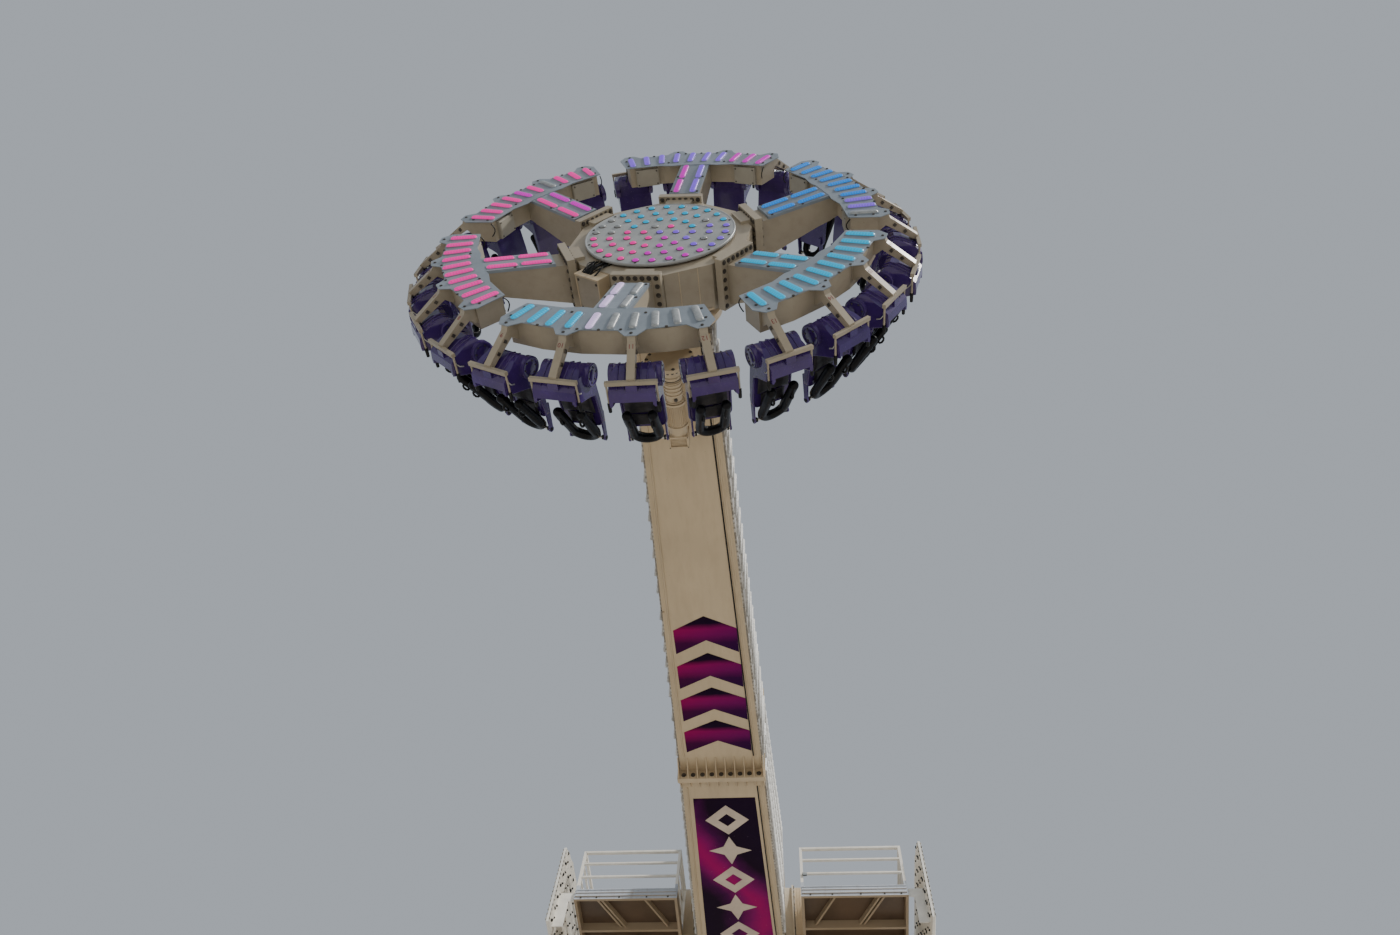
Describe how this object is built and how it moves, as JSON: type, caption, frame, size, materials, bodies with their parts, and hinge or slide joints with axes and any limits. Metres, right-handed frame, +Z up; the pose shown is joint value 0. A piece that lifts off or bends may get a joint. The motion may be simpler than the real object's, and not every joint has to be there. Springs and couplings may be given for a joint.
{
  "type": "pendulum ride",
  "caption": "Fairground pendulum ride: a long arm swings between two towers and carries a turning ring of outward-facing seats with shoulder restraints.",
  "frame": {"origin": "on the ground below the middle of the swing axle, on the underside of the base frame's middle pad", "axes": "+X along the swing axle to the right tower seen from the front, +Y towards the back, +Z up"},
  "size_m": [11.7, 25.3908, 19.8199],
  "materials": {
    "cream_paint": "satin cream paint, weathered",
    "base_paint": "satin grey-cream paint",
    "pale_paint": "satin off-white paint",
    "drive_paint": "satin grey paint",
    "drive_cream": "satin cream paint",
    "drum_steel": "satin paint over machined steel",
    "white_sheet": "white coated sheet",
    "plate_sheet": "light grey coated sheet",
    "disc_sheet": "grey coated sheet",
    "purple_shell": "glossy moulded fibreglass",
    "black_pad": "soft moulded foam skin"
  },
  "bodies": {
    "towers": {"base_frame": "base_paint", "leg_front_left": "cream_paint", "leg_front_right": "cream_paint", "leg_rear_left": "cream_paint", "leg_rear_right": "cream_paint", "tie_beams": "cream_paint", "tower_head_left": "cream_paint", "tower_head_right": "cream_paint", "balcony_left": "pale_paint", "balcony_right": "pale_paint", "swing_drives": "drive_paint", "side_light_walls": "white_sheet"},
    "arm": {"arm_axle": "drum_steel", "arm_root_section": "cream_paint", "arm_outer_section": "cream_paint", "arm_light_boards": "white_sheet", "spin_drive": "drive_cream"},
    "ring": {"hub": "cream_paint", "light_disc": "disc_sheet", "light_plates": "plate_sheet", "spoke_arm_1": "cream_paint", "spoke_arm_2": "cream_paint", "spoke_arm_3": "cream_paint", "spoke_arm_4": "cream_paint", "spoke_arm_5": "cream_paint", "spoke_arm_6": "cream_paint", "seat_row_1": "purple_shell", "seat_row_2": "purple_shell", "seat_row_3": "purple_shell", "seat_row_4": "purple_shell", "seat_row_5": "purple_shell", "seat_row_6": "purple_shell"},
    "restraint_1": {"restraint_1": "black_pad"},
    "restraint_2": {"restraint_2": "black_pad"},
    "restraint_3": {"restraint_3": "black_pad"},
    "restraint_4": {"restraint_4": "black_pad"},
    "restraint_5": {"restraint_5": "black_pad"},
    "restraint_6": {"restraint_6": "black_pad"},
    "restraint_7": {"restraint_7": "black_pad"},
    "restraint_8": {"restraint_8": "black_pad"},
    "restraint_9": {"restraint_9": "black_pad"},
    "restraint_10": {"restraint_10": "black_pad"},
    "restraint_11": {"restraint_11": "black_pad"},
    "restraint_12": {"restraint_12": "black_pad"},
    "restraint_13": {"restraint_13": "black_pad"},
    "restraint_14": {"restraint_14": "black_pad"},
    "restraint_15": {"restraint_15": "black_pad"},
    "restraint_16": {"restraint_16": "black_pad"},
    "restraint_17": {"restraint_17": "black_pad"},
    "restraint_18": {"restraint_18": "black_pad"},
    "restraint_19": {"restraint_19": "black_pad"},
    "restraint_20": {"restraint_20": "black_pad"},
    "restraint_21": {"restraint_21": "black_pad"},
    "restraint_22": {"restraint_22": "black_pad"},
    "restraint_23": {"restraint_23": "black_pad"},
    "restraint_24": {"restraint_24": "black_pad"}
  },
  "joints": [
    {"name": "arm_swing", "type": "hinge", "parent": "towers", "child": "arm", "pos_m": [0, 0, 18.3], "axis": [1, 0, 0], "range_deg": [-44, 196]},
    {"name": "ring_spin", "type": "hinge", "parent": "arm", "child": "ring", "pos_m": [0, -16.88315, 14.09056], "axis": [0, 0.9703, 0.2419], "continuous": true},
    {"name": "restraint_1_lift", "type": "hinge", "parent": "ring", "child": "restraint_1", "pos_m": [0.63678, -14.8682, 11.81672], "axis": [0.9732, -0.0557, 0.2232], "range_deg": [0, 95]},
    {"name": "restraint_2_lift", "type": "hinge", "parent": "ring", "child": "restraint_2", "pos_m": [-0.08212, -14.85054, 11.74586], "axis": [0.9996, 0.0072, -0.0288], "range_deg": [0, 95]},
    {"name": "restraint_3_lift", "type": "hinge", "parent": "ring", "child": "restraint_3", "pos_m": [-0.79541, -14.87848, 11.85796], "axis": [0.9578, 0.0695, -0.2788], "range_deg": [0, 95]},
    {"name": "restraint_4_lift", "type": "hinge", "parent": "ring", "child": "restraint_4", "pos_m": [-1.45451, -14.95014, 12.14537], "axis": [0.8508, 0.1271, -0.5099], "range_deg": [0, 95]},
    {"name": "restraint_5_lift", "type": "hinge", "parent": "ring", "child": "restraint_5", "pos_m": [-2.01448, -15.06063, 12.5885], "axis": [0.6858, 0.1761, -0.7062], "range_deg": [0, 95]},
    {"name": "restraint_6_lift", "type": "hinge", "parent": "ring", "child": "restraint_6", "pos_m": [-2.43716, -15.20241, 13.15716], "axis": [0.4741, 0.213, -0.8543], "range_deg": [0, 95]},
    {"name": "restraint_7_lift", "type": "hinge", "parent": "ring", "child": "restraint_7", "pos_m": [-2.69376, -15.36583, 13.8126], "axis": [0.2301, 0.2354, -0.9443], "range_deg": [0, 95]},
    {"name": "restraint_8_lift", "type": "hinge", "parent": "ring", "child": "restraint_8", "pos_m": [-2.76678, -15.53975, 14.51014], "axis": [-0.0297, 0.2418, -0.9699], "range_deg": [0, 95]},
    {"name": "restraint_9_lift", "type": "hinge", "parent": "ring", "child": "restraint_9", "pos_m": [-2.65125, -15.71231, 15.20225], "axis": [-0.2874, 0.2317, -0.9294], "range_deg": [0, 95]},
    {"name": "restraint_10_lift", "type": "hinge", "parent": "ring", "child": "restraint_10", "pos_m": [-2.35505, -15.87176, 15.84176], "axis": [-0.5255, 0.2058, -0.8255], "range_deg": [0, 95]},
    {"name": "restraint_11_lift", "type": "hinge", "parent": "ring", "child": "restraint_11", "pos_m": [-1.89834, -16.00723, 16.3851], "axis": [-0.7278, 0.1659, -0.6654], "range_deg": [0, 95]},
    {"name": "restraint_12_lift", "type": "hinge", "parent": "ring", "child": "restraint_12", "pos_m": [-1.31228, -16.10948, 16.79523], "axis": [-0.8805, 0.1147, -0.46], "range_deg": [0, 95]},
    {"name": "restraint_13_lift", "type": "hinge", "parent": "ring", "child": "restraint_13", "pos_m": [-0.63678, -16.17156, 17.0442], "axis": [-0.9732, 0.0557, -0.2232], "range_deg": [0, 95]},
    {"name": "restraint_14_lift", "type": "hinge", "parent": "ring", "child": "restraint_14", "pos_m": [0.08212, -16.18923, 17.11506], "axis": [-0.9996, -0.0072, 0.0288], "range_deg": [0, 95]},
    {"name": "restraint_15_lift", "type": "hinge", "parent": "ring", "child": "restraint_15", "pos_m": [0.79541, -16.16128, 17.00296], "axis": [-0.9578, -0.0695, 0.2788], "range_deg": [0, 95]},
    {"name": "restraint_16_lift", "type": "hinge", "parent": "ring", "child": "restraint_16", "pos_m": [1.45451, -16.08962, 16.71555], "axis": [-0.8508, -0.1271, 0.5099], "range_deg": [0, 95]},
    {"name": "restraint_17_lift", "type": "hinge", "parent": "ring", "child": "restraint_17", "pos_m": [2.01448, -15.97913, 16.27242], "axis": [-0.6858, -0.1761, 0.7062], "range_deg": [0, 95]},
    {"name": "restraint_18_lift", "type": "hinge", "parent": "ring", "child": "restraint_18", "pos_m": [2.43716, -15.83735, 15.70375], "axis": [-0.4741, -0.213, 0.8543], "range_deg": [0, 95]},
    {"name": "restraint_19_lift", "type": "hinge", "parent": "ring", "child": "restraint_19", "pos_m": [2.69376, -15.67393, 15.04832], "axis": [-0.2301, -0.2354, 0.9443], "range_deg": [0, 95]},
    {"name": "restraint_20_lift", "type": "hinge", "parent": "ring", "child": "restraint_20", "pos_m": [2.76678, -15.50001, 14.35078], "axis": [0.0297, -0.2418, 0.9699], "range_deg": [0, 95]},
    {"name": "restraint_21_lift", "type": "hinge", "parent": "ring", "child": "restraint_21", "pos_m": [2.65125, -15.32745, 13.65867], "axis": [0.2874, -0.2317, 0.9294], "range_deg": [0, 95]},
    {"name": "restraint_22_lift", "type": "hinge", "parent": "ring", "child": "restraint_22", "pos_m": [2.35505, -15.168, 13.01916], "axis": [0.5255, -0.2058, 0.8255], "range_deg": [0, 95]},
    {"name": "restraint_23_lift", "type": "hinge", "parent": "ring", "child": "restraint_23", "pos_m": [1.89834, -15.03253, 12.47582], "axis": [0.7278, -0.1659, 0.6654], "range_deg": [0, 95]},
    {"name": "restraint_24_lift", "type": "hinge", "parent": "ring", "child": "restraint_24", "pos_m": [1.31228, -14.93028, 12.06569], "axis": [0.8805, -0.1147, 0.46], "range_deg": [0, 95]}
  ],
  "couplings": [
    {"joint": "restraint_2_lift", "follows": "restraint_1_lift", "ratio": 1},
    {"joint": "restraint_3_lift", "follows": "restraint_1_lift", "ratio": 1},
    {"joint": "restraint_4_lift", "follows": "restraint_1_lift", "ratio": 1},
    {"joint": "restraint_5_lift", "follows": "restraint_1_lift", "ratio": 1},
    {"joint": "restraint_6_lift", "follows": "restraint_1_lift", "ratio": 1},
    {"joint": "restraint_7_lift", "follows": "restraint_1_lift", "ratio": 1},
    {"joint": "restraint_8_lift", "follows": "restraint_1_lift", "ratio": 1},
    {"joint": "restraint_9_lift", "follows": "restraint_1_lift", "ratio": 1},
    {"joint": "restraint_10_lift", "follows": "restraint_1_lift", "ratio": 1},
    {"joint": "restraint_11_lift", "follows": "restraint_1_lift", "ratio": 1},
    {"joint": "restraint_12_lift", "follows": "restraint_1_lift", "ratio": 1},
    {"joint": "restraint_13_lift", "follows": "restraint_1_lift", "ratio": 1},
    {"joint": "restraint_14_lift", "follows": "restraint_1_lift", "ratio": 1},
    {"joint": "restraint_15_lift", "follows": "restraint_1_lift", "ratio": 1},
    {"joint": "restraint_16_lift", "follows": "restraint_1_lift", "ratio": 1},
    {"joint": "restraint_17_lift", "follows": "restraint_1_lift", "ratio": 1},
    {"joint": "restraint_18_lift", "follows": "restraint_1_lift", "ratio": 1},
    {"joint": "restraint_19_lift", "follows": "restraint_1_lift", "ratio": 1},
    {"joint": "restraint_20_lift", "follows": "restraint_1_lift", "ratio": 1},
    {"joint": "restraint_21_lift", "follows": "restraint_1_lift", "ratio": 1},
    {"joint": "restraint_22_lift", "follows": "restraint_1_lift", "ratio": 1},
    {"joint": "restraint_23_lift", "follows": "restraint_1_lift", "ratio": 1},
    {"joint": "restraint_24_lift", "follows": "restraint_1_lift", "ratio": 1}
  ]
}
